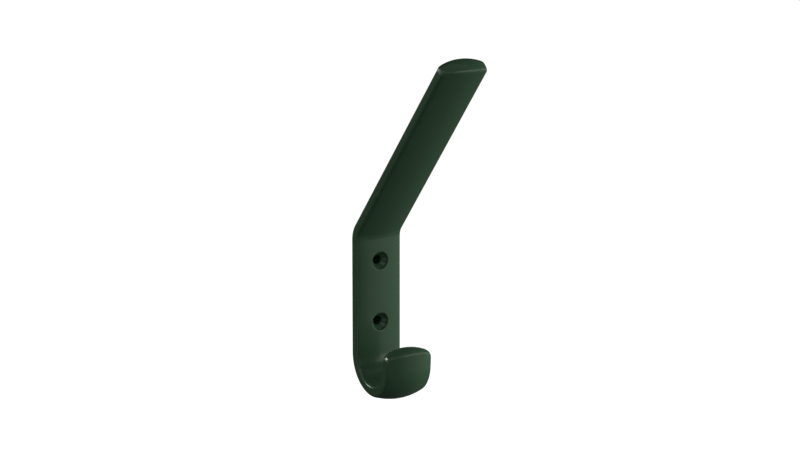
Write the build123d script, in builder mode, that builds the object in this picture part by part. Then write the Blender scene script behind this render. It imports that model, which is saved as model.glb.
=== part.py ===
"""A hat and coat hook moulded in one piece.

One bar with swelling front and rear faces runs from the tip of the long hat arm, round a bend, down the wall
plate and round the hook for the coat. The wall plate has a flat strip behind and two countersunk screw holes.

Millimetres. X points right, Z up and Y into the wall. The origin is on the flat strip, midway between the holes.
"""
import os
from math import cos, radians, sin, sqrt

from build123d import *

# Driving dimensions: the bar
bar_width = 26.2  # from side to side
edge_thickness = 5.3  # from the front face to the rear face, at the sides
front_swell = 1.6  # rise of the front face at the middle of the width
rear_swell = 2.6  # the same for the rear face
wall_strip = 9.0  # width of the flat strip down the plate's rear face
edge_rounding = 1.8  # on every edge
end_radius = 9.7  # of the domed ends, seen from the side

# Driving dimensions: the hat arm
arm_lean = 40.7  # degrees away from the wall
arm_length = 129.5  # along the middle of the bar, from the bend's corner to the tip
arm_corner_height = 30.7  # of the bend's corner above the origin
bend_radius = 9.4  # at the middle of the bar
arm_crown = 2.3  # how far the tip's middle stands out past its sides
arm_corner_spare = 1.5  # by which the tip's two corners, seen from the front, are rounder than the edges

# Driving dimensions: the coat hook
hook_start_drop = 31.4  # from the origin down to where the plate starts to curve
hook_rear_radius = 16.5  # at the middle of the bar, from the plate to the lowest point
hook_front_radius = 13.9  # at the middle of the bar, from the lowest point towards the tip
hook_front_turn = 87.0  # degrees that the front radius turns through
hook_tip_length = 11.2  # straight run that ends at the tip
hook_crown = 3.3  # how far the tip's middle stands out past its sides
hook_corner_spare = 2.4  # by which the tip's two corners, seen from the front, are rounder than the edges

# Driving dimensions: the screw holes
hole_spacing = 32.0
hole_diameter = 4.8
sink_diameter = 8.9  # of the countersink and of the straight recess above it
sink_angle = 90.0  # degrees between opposite walls of the countersink
recess_depth = 1.3  # straight recess that lets the screw head lie below the front face
mouth_rounding = 0.5  # on the rim of each hole

# Sizes that follow from these
half_width = bar_width / 2
half_edge = edge_thickness / 2
bar_thickness = edge_thickness + front_swell + rear_swell
rear_radius = (half_width**2 + rear_swell**2) / (2 * rear_swell)
strip_depth = rear_radius - sqrt(rear_radius**2 - (wall_strip / 2) ** 2)
plate_thickness = bar_thickness - strip_depth
path_depth = half_edge + rear_swell - strip_depth  # from the wall to the middle of the bar, down the plate
arm_corner_radius = edge_rounding + arm_corner_spare
hook_corner_radius = edge_rounding + hook_corner_spare
arm_rise = arm_length * cos(radians(arm_lean))
arm_reach = arm_length * sin(radians(arm_lean))
seam_angle = 10.0  # degrees, below which two faces run on as one


def domed_waste(end, crown, corner_radius):
    """Makes what is cut away round a domed end: a block with the dome taken out of it.

    The plane's origin is at the end's middle, and its second axis points out of the end.
    """
    with BuildPart() as waste:
        with BuildSketch(end):
            Rectangle(2 * bar_width, 2 * end_radius)
        extrude(amount=bar_thickness, both=True)
        with BuildSketch(end) as dome:
            with BuildLine():
                arc = ThreePointArc((-half_width, -crown), (0, 0), (half_width, -crown))
                Polyline(arc @ 1, (half_width, -end_radius), (-half_width, -end_radius), arc @ 0)
            make_face()
            fillet(dome.vertices().group_by(Axis.Y)[-1], corner_radius)
        revolve(axis=Axis(end.from_local_coords((0, -end_radius, 0)), end.x_dir), mode=Mode.SUBTRACT)
    return waste.part


def sharp_edges(solid):
    """Lists the edges where two faces meet at an angle, without the seams where faces run on smoothly."""
    found = []
    for edge in solid.edges():
        beside = [face for face in solid.faces() if any(edge.is_same(other) for other in face.edges())]
        normals = [face.normal_at(edge @ 0.5) for face in beside]
        if len(normals) == 2 and normals[0].get_angle(normals[1]) > seam_angle:
            found.append(edge)
    return found


# The middle of the bar, seen from the side: Y runs along the first axis and Z along the second
with BuildLine(Plane.YZ) as bar_path:
    straight = FilletPolyline(
        (-path_depth - arm_reach, arm_corner_height + arm_rise),
        (-path_depth, arm_corner_height),
        (-path_depth, -hook_start_drop),
        radius=bend_radius,
    )
    rear_curve = JernArc(straight @ 1, straight % 1, hook_rear_radius, -90)
    front_curve = JernArc(rear_curve @ 1, rear_curve % 1, hook_front_radius, -hook_front_turn)
    Line(front_curve @ 1, front_curve @ 1 + (front_curve % 1) * hook_tip_length)
bar_wire = bar_path.wire()

# The section's plane at the tip of the arm, with the front face on the side of its second axis
section_plane = Plane(origin=bar_wire @ 0, x_dir=(1, 0, 0), z_dir=bar_wire % 0)

# Planes that face the two ends from the front or rear, with their second axis pointing out of the end
arm_end = Plane(origin=bar_wire @ 0, x_dir=(1, 0, 0), z_dir=section_plane.y_dir)
hook_end = Plane(origin=bar_wire @ 1, x_dir=(1, 0, 0), z_dir=Vector(1, 0, 0).cross(bar_wire % 1))
arm_waste = domed_waste(arm_end, arm_crown, arm_corner_radius)
hook_waste = domed_waste(hook_end, hook_crown, hook_corner_radius)

with BuildPart() as coat_hook:
    with BuildSketch(section_plane):
        with BuildLine():
            front = ThreePointArc(
                (-half_width, half_edge), (0, half_edge + front_swell), (half_width, half_edge)
            )
            rear = ThreePointArc(
                (half_width, -half_edge), (0, -half_edge - rear_swell), (-half_width, -half_edge)
            )
            Line(front @ 1, rear @ 0)
            Line(rear @ 1, front @ 0)
        make_face()
    sweep(path=bar_wire)

    # The two ends are domed
    add((arm_waste, hook_waste), mode=Mode.SUBTRACT)

    fillet(sharp_edges(coat_hook.part), edge_rounding)

    # The flat strip lies against the wall
    split(bisect_by=Plane.XZ, keep=Keep.TOP)

    # Two screw holes on the plate's centre line, each with a straight recess and a countersink
    with Locations(Plane.XZ.offset(plate_thickness - recess_depth)):
        with GridLocations(hole_spacing, hole_spacing, 1, 2):
            CounterSinkHole(
                hole_diameter / 2, sink_diameter / 2, 2 * plate_thickness, counter_sink_angle=sink_angle
            )
    mouths = coat_hook.edges(Select.LAST).group_by(Axis.Y)[0]
    fillet(mouths, mouth_rounding)

coat_hook.part.label = "coat_hook"
os.makedirs("parts", exist_ok=True)
export_step(coat_hook.part, "parts/coat_hook.step")
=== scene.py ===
"""A hat and coat hook in glossy dark green plastic, in a plain white studio.

The hook is modelled as one bar: its section is drawn once, run up the wall plate, round the bend and along
the hat arm, then down the plate and round the coat hook. The ends are domed, the back is cut flat and the
screw holes are drilled. All sizes are in metres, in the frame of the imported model.
"""
import logging
import math
from collections.abc import Callable
from dataclasses import dataclass, field
from enum import Enum
from typing import Any

import bmesh
import bpy
from mathutils import Matrix, Vector


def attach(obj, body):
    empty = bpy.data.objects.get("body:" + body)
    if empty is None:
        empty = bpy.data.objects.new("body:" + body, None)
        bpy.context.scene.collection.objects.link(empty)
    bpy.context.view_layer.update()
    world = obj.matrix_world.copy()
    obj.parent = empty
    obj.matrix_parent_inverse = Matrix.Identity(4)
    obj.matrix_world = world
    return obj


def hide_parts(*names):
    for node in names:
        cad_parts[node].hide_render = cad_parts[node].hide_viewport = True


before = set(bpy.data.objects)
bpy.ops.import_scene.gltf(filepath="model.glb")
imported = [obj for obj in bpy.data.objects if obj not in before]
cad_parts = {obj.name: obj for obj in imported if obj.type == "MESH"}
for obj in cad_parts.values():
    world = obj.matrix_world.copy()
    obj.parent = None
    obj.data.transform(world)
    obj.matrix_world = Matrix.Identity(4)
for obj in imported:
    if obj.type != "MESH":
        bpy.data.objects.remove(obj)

LOG = logging.getLogger("coat_hook")
MM = 0.001
TINY = 0.001 * MM
NODE = "coat_hook"
BODY = "root"
ACROSS = Vector((1, 0, 0))
UP = Vector((0, 0, 1))


def direction(azimuth: float, elevation: float) -> Vector:
    """Gives the unit vector from the object towards a place in the studio.

    Args:
        azimuth: Degrees to the right of straight in front of the wall plate.
        elevation: Degrees above level.

    Returns:
        The direction, in the object's frame.
    """
    turn, rise = math.radians(azimuth), math.radians(elevation)
    return Vector((math.sin(turn) * math.cos(rise), -math.cos(turn) * math.cos(rise), math.sin(rise)))


def facing(place: Vector, aim: Vector) -> Matrix:
    """Gives the placing of a lamp or camera that looks from one point to another.

    Args:
        place: Where it stands.
        aim: What it looks at.

    Returns:
        The world matrix, with the picture's upper edge level.
    """
    back = (place - aim).normalized()
    right = UP.cross(back).normalized()
    placing = Matrix((right, back.cross(right), back)).transposed().to_4x4()
    placing.translation = place
    return placing


class Kind(Enum):
    """What a selection picks out of a mesh."""

    POINTS = "VERT"
    EDGES = "EDGE"
    FACES = "FACE"


class Bench:
    """A mesh under work: parts of it are picked, and a tool is used on what is picked."""

    def __init__(self, name: str, start: Vector) -> None:
        """Starts a mesh from a square, one metre wide, and opens it for editing.

        Args:
            name: Of the piece.
            start: Where the middle of the square lies.
        """
        bpy.ops.object.select_all(action="DESELECT")
        bpy.ops.mesh.primitive_plane_add(size=1, location=start)
        self.piece: bpy.types.Object = bpy.context.object
        self.piece.name = name
        self.piece.data.name = name
        bpy.ops.object.transform_apply(location=True, rotation=True, scale=True)
        bpy.ops.object.mode_set(mode="EDIT")
        bpy.ops.mesh.select_mode(type=Kind.POINTS.value)

    def mesh(self) -> bmesh.types.BMesh:
        """Gives the mesh as it is now."""
        return bmesh.from_edit_mesh(self.piece.data)

    def pick(self, kind: Kind, test: Callable[[Any], bool]) -> None:
        """Selects what passes a test, and nothing else.

        Args:
            kind: Whether points, edges or faces are tested.
            test: Says whether one of them is picked.
        """
        bpy.ops.mesh.select_mode(type=kind.value)
        bpy.ops.mesh.select_all(action="DESELECT")
        mesh = self.mesh()
        for item in {Kind.POINTS: mesh.verts, Kind.EDGES: mesh.edges, Kind.FACES: mesh.faces}[kind]:
            item.select_set(test(item))
        mesh.select_flush_mode()
        bmesh.update_edit_mesh(self.piece.data)

    def pick_all(self) -> None:
        """Selects the whole mesh."""
        bpy.ops.mesh.select_all(action="SELECT")

    def extrude(self, way: Vector, length: float, steps: int = 1) -> None:
        """Draws the picked outline out along a straight line.

        Args:
            way: The direction, as a unit vector.
            length: How far.
            steps: In how many rows of faces.
        """
        for _ in range(steps):
            bpy.ops.mesh.extrude_region_move(TRANSFORM_OT_translate={"value": way * (length / steps)})

    def spin(self, centre: Vector, axis: Vector, turn: float, steps: int) -> None:
        """Draws the picked outline round an axis.

        Args:
            centre: A point on the axis.
            axis: The axis's direction.
            turn: Through which angle, in radians.
            steps: In how many rows of faces.
        """
        bpy.ops.mesh.spin(steps=steps, angle=turn, center=centre, axis=axis)

    def tidy(self) -> None:
        """Joins points that coincide and turns every face outwards."""
        self.pick_all()
        bpy.ops.mesh.remove_doubles(threshold=TINY)
        bpy.ops.mesh.normals_make_consistent(inside=False)

    def done(self) -> bpy.types.Object:
        """Closes the mesh for editing and gives the piece."""
        bpy.ops.object.mode_set(mode="OBJECT")
        return self.piece


class NodeBoard:
    """The nodes of a material or of the world, with short ways to add and join them."""

    def __init__(self, owner: bpy.types.Material | bpy.types.World) -> None:
        """Empties the nodes of a material or world.

        Args:
            owner: Whose nodes they are.
        """
        owner.use_nodes = True
        self.tree: bpy.types.NodeTree = owner.node_tree
        self.tree.nodes.clear()

    def add(self, kind: str, **inputs: Any) -> bpy.types.Node:
        """Adds a node.

        Args:
            kind: Its type, without the common start of the type's name.
            **inputs: Values or sockets for its inputs, by the input's name with _ for a space.

        Returns:
            The node.
        """
        node = self.tree.nodes.new(f"ShaderNode{kind}")
        for name, value in inputs.items():
            self.join(value, node.inputs[name.replace("_", " ")])
        return node

    def join(self, value: Any, target: bpy.types.NodeSocket) -> None:
        """Sets an input to a value, or joins it to another node's output.

        Args:
            value: A plain value or an output.
            target: The input.
        """
        if isinstance(value, bpy.types.NodeSocket):
            self.tree.links.new(value, target)
        else:
            target.default_value = value

    def sum(self, operation: str, first: Any, second: Any) -> bpy.types.NodeSocket:
        """Adds a sum of two numbers.

        Args:
            operation: Which sum.
            first: A number or an output.
            second: A number or an output.

        Returns:
            The result.
        """
        node = self.add("Math")
        node.operation = operation
        self.join(first, node.inputs[0])
        self.join(second, node.inputs[1])
        return node.outputs["Value"]

    def mix(self, share: Any, first: bpy.types.Node, second: bpy.types.Node) -> bpy.types.Node:
        """Adds a mix of two shaders.

        Args:
            share: How much of the second shows, from 0 to 1.
            first: A shader.
            second: Another shader.

        Returns:
            The mix.
        """
        node = self.add("MixShader", Fac=share)
        self.join(first.outputs[0], node.inputs[1])
        self.join(second.outputs[0], node.inputs[2])
        return node


@dataclass(frozen=True)
class GlossyPlastic:
    """A glossy plastic, coloured right through, with the slight ripple that a moulded skin has."""

    name: str = "green_plastic"
    light_colour: tuple[float, float, float] = (0.041, 0.089, 0.048)
    dark_colour: tuple[float, float, float] = (0.037, 0.081, 0.044)
    refraction: float = 1.36
    cloud_size: float = 25 * MM
    cloud_detail: float = 3
    smoothest: float = 0.20
    roughest: float = 0.27
    ripple_size: float = 0.9 * MM
    ripple_height: float = 0.002 * MM
    ripple_detail: float = 2

    def material(self) -> bpy.types.Material:
        """Makes the material, with its patterns on the object's own coordinates."""
        made = bpy.data.materials.new(self.name)
        board = NodeBoard(made)
        place = board.add("TexCoord").outputs["Object"]
        clouds = board.add("TexNoise", Vector=place, Scale=1 / self.cloud_size, Detail=self.cloud_detail)
        cloud = clouds.outputs["Fac"]
        colours = board.add("ValToRGB", Fac=cloud)
        colours.color_ramp.elements[0].color = (*self.dark_colour, 1)
        colours.color_ramp.elements[1].color = (*self.light_colour, 1)
        gloss = board.add("MapRange", Value=cloud, To_Min=self.smoothest, To_Max=self.roughest)
        ripple = board.add("TexNoise", Vector=place, Scale=1 / self.ripple_size, Detail=self.ripple_detail)
        bump = board.add("Bump", Height=ripple.outputs["Fac"], Distance=self.ripple_height)
        shader = board.add(
            "BsdfPrincipled",
            Base_Color=colours.outputs["Color"],
            Roughness=gloss.outputs["Result"],
            IOR=self.refraction,
            Normal=bump.outputs["Normal"],
        )
        board.add("OutputMaterial", Surface=shader.outputs["BSDF"])
        return made


@dataclass(frozen=True)
class BarSizes:
    """The bar that runs from end to end.

    The two roundings are those of a square corner, before the faces beside it swell.
    """

    width: float = 26.2 * MM
    edge_thickness: float = 5.3 * MM
    front_swell: float = 1.6 * MM
    rear_swell: float = 2.6 * MM
    wall_strip: float = 9 * MM
    corner_rounding: float = 1.35 * MM
    rim_rounding: float = 1.1 * MM
    end_radius: float = 9.7 * MM

    @property
    def path_depth(self) -> float:
        """How far the bar's middle lies in front of the wall, down the plate."""
        radius = ((self.width / 2) ** 2 + self.rear_swell**2) / (2 * self.rear_swell)
        strip_depth = radius - math.sqrt(radius**2 - (self.wall_strip / 2) ** 2)
        return self.edge_thickness / 2 + self.rear_swell - strip_depth

    @property
    def front_depth(self) -> float:
        """How far the plate's front face stands off the wall, at its middle."""
        return self.path_depth + self.edge_thickness / 2 + self.front_swell


@dataclass(frozen=True)
class ArmSizes:
    """The long arm for a hat."""

    lean: float = math.radians(40.7)
    length: float = 129.5 * MM
    corner_height: float = 30.7 * MM
    bend_radius: float = 9.4 * MM
    crown: float = 2.3 * MM
    end_corner: float = 3.3 * MM

    @property
    def bend_length(self) -> float:
        """How far the bend reaches from its corner, along the plate and along the arm."""
        return self.bend_radius * math.tan(self.lean / 2)


@dataclass(frozen=True)
class HookSizes:
    """The hook for a coat."""

    start_drop: float = 31.4 * MM
    rear_radius: float = 16.5 * MM
    front_radius: float = 13.9 * MM
    front_turn: float = math.radians(87)
    tip_length: float = 11.2 * MM
    crown: float = 3.3 * MM
    end_corner: float = 4.2 * MM


@dataclass(frozen=True)
class HoleSizes:
    """The two screw holes."""

    spacing: float = 32 * MM
    bore_radius: float = 2.4 * MM
    sink_radius: float = 4.45 * MM
    recess_depth: float = 1.3 * MM
    mouth_rounding: float = 0.5 * MM
    overrun: float = 3 * MM


@dataclass(frozen=True)
class BarEnd:
    """An end of the bar: where its middle is, which way it points and how far its middle stands out."""

    tip: Vector
    way: Vector
    crown: float
    corner: float


@dataclass
class CoatHook:
    """The moulded hook, in one piece."""

    bar: BarSizes = field(default_factory=BarSizes)
    arm: ArmSizes = field(default_factory=ArmSizes)
    hook: HookSizes = field(default_factory=HookSizes)
    hole: HoleSizes = field(default_factory=HoleSizes)
    finish: GlossyPlastic = field(default_factory=GlossyPlastic)
    columns: int = 24
    corner_steps: int = 6
    side_steps: int = 4
    row_height: float = 1 * MM
    curve_steps: int = 24
    hole_steps: int = 96
    last_row: float = 10 * MM
    crease_angle: float = math.radians(35)

    @property
    def arm_end(self) -> BarEnd:
        """The tip of the hat arm."""
        way = Vector((0, -math.sin(self.arm.lean), math.cos(self.arm.lean)))
        corner = Vector((0, -self.bar.path_depth, self.arm.corner_height))
        return BarEnd(corner + way * self.arm.length, way, self.arm.crown, self.arm.end_corner)

    @property
    def hook_end(self) -> BarEnd:
        """The tip of the coat hook."""
        turn, radius = self.hook.front_turn, self.hook.front_radius
        way = Vector((0, -math.cos(turn), math.sin(turn)))
        start = Vector((0, -self.bar.path_depth, -self.hook.start_drop))
        lowest = start - Vector((0, 1, 1)) * self.hook.rear_radius
        bend = Vector((0, -math.sin(turn), 1 - math.cos(turn))) * radius
        return BarEnd(lowest + bend + way * self.hook.tip_length, way, self.hook.crown, self.hook.end_corner)

    def draw_section(self) -> Bench:
        """Draws the bar's outline: rounded corners, upright sides, and a front and a rear that swell."""
        bar = self.bar
        middle = Vector((0, -bar.path_depth, 0))
        bench = Bench(f"{NODE}_body", middle)
        bench.pick_all()
        bpy.ops.transform.resize(value=(bar.width, bar.edge_thickness, 1), center_override=middle)
        bpy.ops.mesh.bevel(offset=bar.corner_rounding, segments=self.corner_steps, affect="VERTICES")
        bench.pick_all()
        bpy.ops.mesh.delete(type="ONLY_FACE")
        bench.pick(Kind.EDGES, lambda edge: edge.calc_length() > bar.width / 2)
        bpy.ops.mesh.subdivide(number_cuts=self.columns - 1)
        side_length = bar.edge_thickness - 2 * bar.corner_rounding
        bench.pick(Kind.EDGES, lambda edge: abs(edge.calc_length() - side_length) < TINY)
        bpy.ops.mesh.subdivide(number_cuts=self.side_steps - 1)
        for side, swell in ((-1, bar.front_swell), (1, bar.rear_swell)):
            bench.pick(Kind.POINTS, lambda p: abs(p.co.x) < TINY and side * (p.co.y + bar.path_depth) > 0)
            bpy.ops.transform.translate(
                value=(0, side * swell, 0),
                use_proportional_edit=True,
                use_proportional_connected=True,
                proportional_edit_falloff="INVERSE_SQUARE",
                proportional_size=bar.width / 2,
            )
        return bench

    def run_arm(self, bench: Bench) -> None:
        """Runs the section up the plate, round the bend and along the hat arm.

        Args:
            bench: The mesh, with only the section in it.
        """
        arm = self.arm
        straight = arm.corner_height - arm.bend_length
        bench.pick_all()
        bench.extrude(UP, straight, round(straight / self.row_height))
        centre = Vector((0, -self.bar.path_depth - arm.bend_radius, straight))
        bench.spin(centre, -ACROSS, arm.lean, self.curve_steps)
        bench.extrude(self.arm_end.way, arm.length - arm.bend_length - self.last_row, self.curve_steps)
        bench.extrude(self.arm_end.way, self.last_row)

    def run_hook(self, bench: Bench) -> None:
        """Runs the section down the plate and round the coat hook.

        Args:
            bench: The mesh, with the section at the height of the origin.
        """
        hook = self.hook
        bench.pick(Kind.POINTS, lambda p: abs(p.co.z) < TINY)
        bench.extrude(-UP, hook.start_drop, round(hook.start_drop / self.row_height))
        depth = -self.bar.path_depth - hook.rear_radius
        bench.spin(Vector((0, depth, -hook.start_drop)), ACROSS, math.pi / 2, self.curve_steps)
        height = -hook.start_drop - hook.rear_radius + hook.front_radius
        bench.spin(Vector((0, depth, height)), ACROSS, hook.front_turn, self.curve_steps)
        bench.extrude(self.hook_end.way, hook.tip_length - self.last_row)
        bench.extrude(self.hook_end.way, self.last_row)

    def plan_fall(self, end: BarEnd, across: float) -> float:
        """Says how far an end's outline lies behind its tip, seen from the front.

        Args:
            end: Which end it is.
            across: How far from the middle of the width.

        Returns:
            The distance back from the tip, on the crown or on the rounded corner beside it.
        """
        half_width = self.bar.width / 2
        crown_radius = (half_width**2 + end.crown**2) / (2 * end.crown)
        corner_middle = half_width - end.corner
        corner_fall = crown_radius - math.sqrt((crown_radius - end.corner) ** 2 - corner_middle**2)
        crown_edge = corner_middle * crown_radius / (crown_radius - end.corner)
        if abs(across) < crown_edge:
            return crown_radius - math.sqrt(crown_radius**2 - across**2)
        inside = min(abs(across) - corner_middle, end.corner)
        return corner_fall - math.sqrt(end.corner**2 - inside**2)

    def close_end(self, bench: Bench, end: BarEnd) -> None:
        """Closes an end with a rounded rim and a grid of faces, and domes it.

        Args:
            bench: The mesh, open at this end.
            end: Which end it is.
        """
        bar = self.bar
        through = end.way.cross(ACROSS)

        def at_end(point: Vector) -> bool:
            """Says whether a point lies in the flat end."""
            return abs((point - end.tip).dot(end.way)) < TINY and (point - end.tip).length < bar.width

        def in_rim(edge: bmesh.types.BMEdge) -> bool:
            """Says whether an edge lies in the flat end."""
            return all(at_end(point.co) for point in edge.verts)

        bench.pick(Kind.EDGES, in_rim)
        bpy.ops.mesh.edge_face_add()
        bench.pick(Kind.EDGES, in_rim)
        bpy.ops.mesh.bevel(offset=bar.rim_rounding, segments=self.corner_steps, affect="EDGES")
        bench.pick(
            Kind.FACES, lambda face: len(face.verts) > self.columns and at_end(face.calc_center_median())
        )
        bpy.ops.mesh.delete(type="ONLY_FACE")
        bench.pick(Kind.EDGES, lambda edge: edge.is_boundary and in_rim(edge))
        mesh = bench.mesh()
        outer = bar.width * through - bar.width * ACROSS
        corner = max((p for p in mesh.verts if p.select), key=lambda p: p.co.dot(outer))
        mesh.select_history.clear()
        mesh.select_history.add(corner)
        bpy.ops.mesh.fill_grid(span=self.columns + self.corner_steps)

        mesh = bench.mesh()
        for point in mesh.verts:
            place = point.co - end.tip
            if place.dot(end.way) > -bar.rim_rounding - TINY and place.length < bar.width:
                reach = bar.end_radius - self.plan_fall(end, place.x)
                rise = math.sqrt(reach**2 - place.dot(through) ** 2)
                point.co -= end.way * (bar.end_radius - rise)
        bmesh.update_edit_mesh(bench.piece.data)

    def flatten_back(self, bench: Bench) -> None:
        """Cuts the plate's rear flat where it lies against the wall, with a crisp edge round the flat.

        Args:
            bench: The closed mesh.
        """
        bench.pick_all()
        bpy.ops.mesh.bisect(
            plane_co=(0, 0, 0), plane_no=(0, 1, 0), use_fill=True, clear_outer=True, threshold=TINY
        )
        bench.pick(Kind.EDGES, lambda edge: all(abs(p.co.y) < TINY for p in edge.verts))
        bpy.ops.mesh.mark_sharp()

    def drill(self, piece: bpy.types.Object, height: float) -> None:
        """Drills a screw hole: a bore, a countersink and a recess whose rounded mouth follows the front.

        Args:
            piece: The hook.
            height: Of the hole above the origin.
        """
        hole, bar = self.hole, self.bar
        sink_depth = hole.sink_radius - hole.bore_radius
        bench = Bench("hole_cutter", Vector((0, hole.overrun, height)))
        bench.pick_all()
        bpy.ops.mesh.merge(type="CENTER")
        bench.pick_all()
        bench.extrude(ACROSS, hole.bore_radius)
        bench.extrude(Vector((0, -1, 0)), hole.overrun + bar.front_depth - hole.recess_depth - sink_depth)
        bench.extrude(Vector((1, -1, 0)), sink_depth)
        bench.extrude(Vector((0, -1, 0)), hole.recess_depth)
        bench.extrude(ACROSS, hole.mouth_rounding)
        bench.extrude(Vector((0, -1, 0)), hole.overrun)
        bench.extrude(-ACROSS, hole.sink_radius + hole.mouth_rounding)
        bench.pick(
            Kind.POINTS, lambda p: abs(p.co.y + bar.front_depth) < TINY and p.co.x < hole.sink_radius + TINY
        )
        bpy.ops.mesh.bevel(offset=hole.mouth_rounding, segments=self.corner_steps, affect="VERTICES")
        bench.pick_all()
        bench.spin(Vector((0, 0, height)), Vector((0, 1, 0)), math.tau, self.hole_steps)
        bench.tidy()
        for point in bench.mesh().verts:
            if point.co.y < hole.recess_depth - bar.front_depth + TINY:
                point.co.y += bar.front_swell * (2 * point.co.x / bar.width) ** 2
        bmesh.update_edit_mesh(bench.piece.data)
        cutter = bench.done()

        bpy.ops.object.select_all(action="DESELECT")
        bpy.context.view_layer.objects.active = piece
        cut = piece.modifiers.new("drilled", "BOOLEAN")
        cut.operation = "DIFFERENCE"
        cut.solver = "EXACT"
        cut.object = cutter
        bpy.ops.object.modifier_apply(modifier=cut.name)
        bpy.data.objects.remove(cutter)

    def dress(self, piece: bpy.types.Object) -> None:
        """Smooths the shading and gives the hook its plastic.

        Args:
            piece: The hook.
        """
        bpy.ops.object.select_all(action="DESELECT")
        piece.select_set(True)
        bpy.context.view_layer.objects.active = piece
        bpy.ops.object.shade_smooth_by_angle(angle=self.crease_angle, keep_sharp_edges=True)
        even = piece.modifiers.new("even_shading", "WEIGHTED_NORMAL")
        even.keep_sharp = True
        bpy.ops.object.modifier_apply(modifier=even.name)
        piece.data.materials.clear()
        piece.data.materials.append(self.finish.material())

    def build(self) -> None:
        """Models the hook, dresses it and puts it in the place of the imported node."""
        bench = self.draw_section()
        self.run_arm(bench)
        self.run_hook(bench)
        bench.tidy()
        for end in (self.arm_end, self.hook_end):
            self.close_end(bench, end)
        bench.tidy()
        self.flatten_back(bench)
        piece = bench.done()
        for height in (-self.hole.spacing / 2, self.hole.spacing / 2):
            self.drill(piece, height)
        self.dress(piece)
        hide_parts(NODE)
        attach(piece, BODY)
        LOG.info("modelled %s with %d faces", piece.name, len(piece.data.polygons))


@dataclass(frozen=True)
class SoftLamp:
    """An oblong soft light that points at the object.

    Args:
        name: What the lamp is for.
        azimuth: Degrees to the right of straight in front.
        elevation: Degrees above level.
        width: Of the lamp, in metres.
        height: Of the lamp, in metres.
        radiance: How bright its face is, where 1 is white.
        mirrored: Whether the lamp shows in glossy surfaces.
        distance: From the object, in metres.
    """

    name: str
    azimuth: float
    elevation: float
    width: float
    height: float
    radiance: float
    mirrored: bool = True
    distance: float = 1.2

    def place(self, aim: Vector) -> None:
        """Sets the lamp up.

        Args:
            aim: The point that it faces.
        """
        data = bpy.data.lights.new(self.name, "AREA")
        data.shape = "RECTANGLE"
        data.size = self.width
        data.size_y = self.height
        data.energy = self.radiance * math.pi * self.width * self.height
        lamp = bpy.data.objects.new(self.name, data)
        bpy.context.scene.collection.objects.link(lamp)
        lamp.matrix_world = facing(aim + direction(self.azimuth, self.elevation) * self.distance, aim)
        lamp.visible_camera = False
        lamp.visible_glossy = self.mirrored
        LOG.info("placed %s", self.name)


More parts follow.
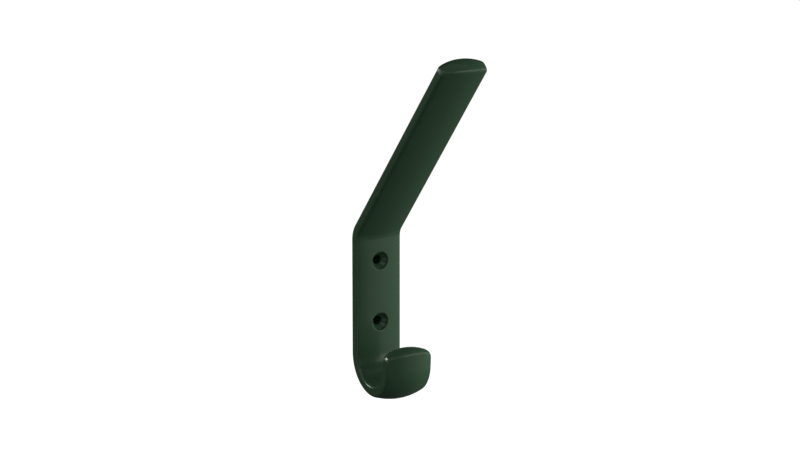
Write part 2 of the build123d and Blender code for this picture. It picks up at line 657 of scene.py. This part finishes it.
@dataclass
class Studio:
    """The plain room: a pale floor, a dim surround and soft lamps.

    The floor and the surround are white to the camera. What is behind the object, as the camera sees it, is
    also white in the object's reflections; the rest of the room is dim there, as it is in the photograph.
    """

    view: Vector
    floor_drop: float = 0.45
    floor_size: float = 14.0
    floor_colour: tuple[float, float, float] = (0.80, 0.80, 0.80)
    floor_glow: float = 1.0
    near_glow: float = 0.7
    glow_reach: float = 1.35
    shade_colour: tuple[float, float, float] = (0.06, 0.06, 0.06)
    white_from: float = 0.90
    white_to: float = 0.98
    dim_light: float = 0.02
    lamps: tuple[SoftLamp, ...] = (
        SoftLamp("right_lamp", 80, 0, 0.55, 0.9, 10.2, mirrored=False),
        SoftLamp("right_panel", 74, 3, 0.5, 1.0, 1.0),
        SoftLamp("low_right_lamp", 37, -15, 1.05, 0.5, 0.52),
        SoftLamp("low_left_lamp", -62, -14, 0.5, 0.35, 0.90),
        SoftLamp("front_lamp", 30, 11, 1.0, 0.6, 2.0),
        SoftLamp("camera_lamp", -20, 18, 1.0, 0.6, 0.70),
        SoftLamp("high_left_lamp", -60, 42, 0.9, 0.7, 0.80),
        SoftLamp("left_lamp", -105, 14, 0.8, 0.7, 0.80),
        SoftLamp("top_lamp", 30, 73, 0.8, 0.8, 0.25),
        SoftLamp("rear_left_lamp", -140, 12, 0.25, 0.25, 20.0),
    )
    holes: HoleSizes = field(default_factory=HoleSizes)
    # The patches behind the screw holes are painted shade: dark sheets that stand for the shade seen through
    # the bores.
    shade_patch_gap: float = 0.1 * MM
    shade_patch_overlap: float = 0.2 * MM
    painted_shade_colour: tuple[float, float, float] = (0.01, 0.015, 0.011)

    def white_share(self, board: NodeBoard, away: bpy.types.NodeSocket) -> bpy.types.NodeSocket:
        """Says where the room is white.

        Args:
            board: The nodes of the floor or of the surround.
            away: The direction from the object to what is seen.

        Returns:
            1 for the camera, and in reflections of what is behind the object; 0 for other light.
        """
        path = board.add("LightPath")
        ahead = board.add("VectorMath")
        ahead.operation = "DOT_PRODUCT"
        board.join(away, ahead.inputs[0])
        board.join(self.view, ahead.inputs[1])
        behind = board.add(
            "MapRange", Value=ahead.outputs["Value"], From_Min=self.white_from, From_Max=self.white_to
        )
        behind.interpolation_type = "SMOOTHSTEP"
        mirrored = board.sum("MULTIPLY", path.outputs["Is Glossy Ray"], behind.outputs["Result"])
        seen = board.sum("MAXIMUM", path.outputs["Is Camera Ray"], path.outputs["Is Transmission Ray"])
        return board.sum("MAXIMUM", seen, mirrored)

    def surround(self) -> None:
        """Makes the world behind the floor."""
        world = bpy.data.worlds.new("studio")
        bpy.context.scene.world = world
        board = NodeBoard(world)
        white = (1, 1, 1, 1)
        dim = board.add("Background", Color=white, Strength=self.dim_light)
        bright = board.add("Background", Color=white, Strength=1)
        share = self.white_share(board, board.add("TexCoord").outputs["Generated"])
        board.add("OutputWorld", Surface=board.mix(share, dim, bright).outputs[0])

    def floor(self) -> None:
        """Lays the floor, below the object."""
        bpy.ops.object.select_all(action="DESELECT")
        bpy.ops.mesh.primitive_plane_add(size=self.floor_size, location=(0, 0, -self.floor_drop))
        floor = bpy.context.object
        floor.name = "floor"
        material = bpy.data.materials.new("pale_floor")
        board = NodeBoard(material)
        away = board.add("VectorMath")
        away.operation = "NORMALIZE"
        place = board.add("NewGeometry")
        board.join(place.outputs["Position"], away.inputs[0])
        shade = board.add("BsdfDiffuse", Color=(*self.shade_colour, 1))
        far = board.add("VectorMath")
        far.operation = "LENGTH"
        board.join(place.outputs["Position"], far.inputs[0])
        level = board.add(
            "MapRange",
            Value=far.outputs["Value"],
            From_Min=self.floor_drop,
            From_Max=self.glow_reach,
            To_Min=self.near_glow,
            To_Max=self.floor_glow,
        )
        glow = board.add("Emission", Color=(1, 1, 1, 1), Strength=level.outputs["Result"])
        pale = board.add("AddShader")
        board.join(board.add("BsdfDiffuse", Color=(*self.floor_colour, 1)).outputs[0], pale.inputs[0])
        board.join(glow.outputs[0], pale.inputs[1])
        share = self.white_share(board, away.outputs["Vector"])
        board.add("OutputMaterial", Surface=board.mix(share, shade, pale).outputs[0])
        floor.data.materials.append(material)
        LOG.info("laid the floor")

    def wall(self) -> None:
        """Hangs a patch of painted shade behind each screw hole: a dark sheet, seen from the front only,
        that makes the bores read as dark as shade would.
        """
        material = bpy.data.materials.new("painted_bore_shade")
        board = NodeBoard(material)
        behind = board.add("NewGeometry").outputs["Backfacing"]
        # Painted shade: the sheet's dark colour stands for the shade inside the bores.
        dark = board.add("BsdfDiffuse", Color=(*self.painted_shade_colour, 1))
        board.add("OutputMaterial", Surface=board.mix(behind, dark, board.add("BsdfTransparent")).outputs[0])
        for side in (-1, 1):
            bpy.ops.object.select_all(action="DESELECT")
            bpy.ops.mesh.primitive_circle_add(
                radius=self.holes.bore_radius + self.shade_patch_overlap,
                fill_type="NGON",
                location=(0, self.shade_patch_gap, side * self.holes.spacing / 2),
                rotation=(math.pi / 2, 0, 0),
            )
            patch = bpy.context.object
            patch.name = "painted_bore_shade_patch"
            bpy.ops.object.transform_apply(location=True, rotation=True, scale=True)
            patch.data.materials.append(material)
        LOG.info("hung the wall")

    def build(self, aim: Vector) -> None:
        """Sets the studio up.

        Args:
            aim: The point that the lamps face.
        """
        self.surround()
        self.floor()
        # Hangs the painted shade behind the screw holes.
        self.wall()
        for lamp in self.lamps:
            lamp.place(aim)


@dataclass
class PhotoCamera:
    """The camera, at the photograph's place."""

    azimuth: float = -30.97
    elevation: float = 13.5
    distance: float = 1.38
    image_width: int = 800
    target: Vector = field(default_factory=lambda: Vector((0, -32.3, 25)) * MM)
    pixels_per_mm: float = 1.997
    target_pixel: tuple[float, float] = (3.75, -27.66)
    sensor_width: float = 36
    near_limit: float = 0.05

    def place(self) -> None:
        """Sets the camera up and makes it the scene's camera."""
        data = bpy.data.cameras.new("photo_camera")
        data.sensor_width = self.sensor_width
        data.lens = self.pixels_per_mm / MM * self.distance / self.image_width * self.sensor_width
        data.clip_start = self.near_limit
        camera = bpy.data.objects.new("photo_camera", data)
        bpy.context.scene.collection.objects.link(camera)
        spot = self.target + direction(self.azimuth, self.elevation) * self.distance
        placing = facing(spot, self.target)
        across, up = placing.col[0].to_3d(), placing.col[1].to_3d()
        offset = across * self.target_pixel[0] + up * self.target_pixel[1]
        camera.matrix_world = facing(spot, self.target - offset * MM / self.pixels_per_mm)
        bpy.context.scene.camera = camera


def main() -> None:
    """Builds the hook, the studio and the camera."""
    logging.basicConfig(level=logging.INFO, format="%(name)s: %(message)s")
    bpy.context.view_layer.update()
    bpy.context.scene.view_settings.view_transform = "Standard"
    CoatHook().build()
    camera = PhotoCamera()
    Studio(-direction(camera.azimuth, camera.elevation)).build(camera.target)
    camera.place()


if __name__ == "__main__":
    main()
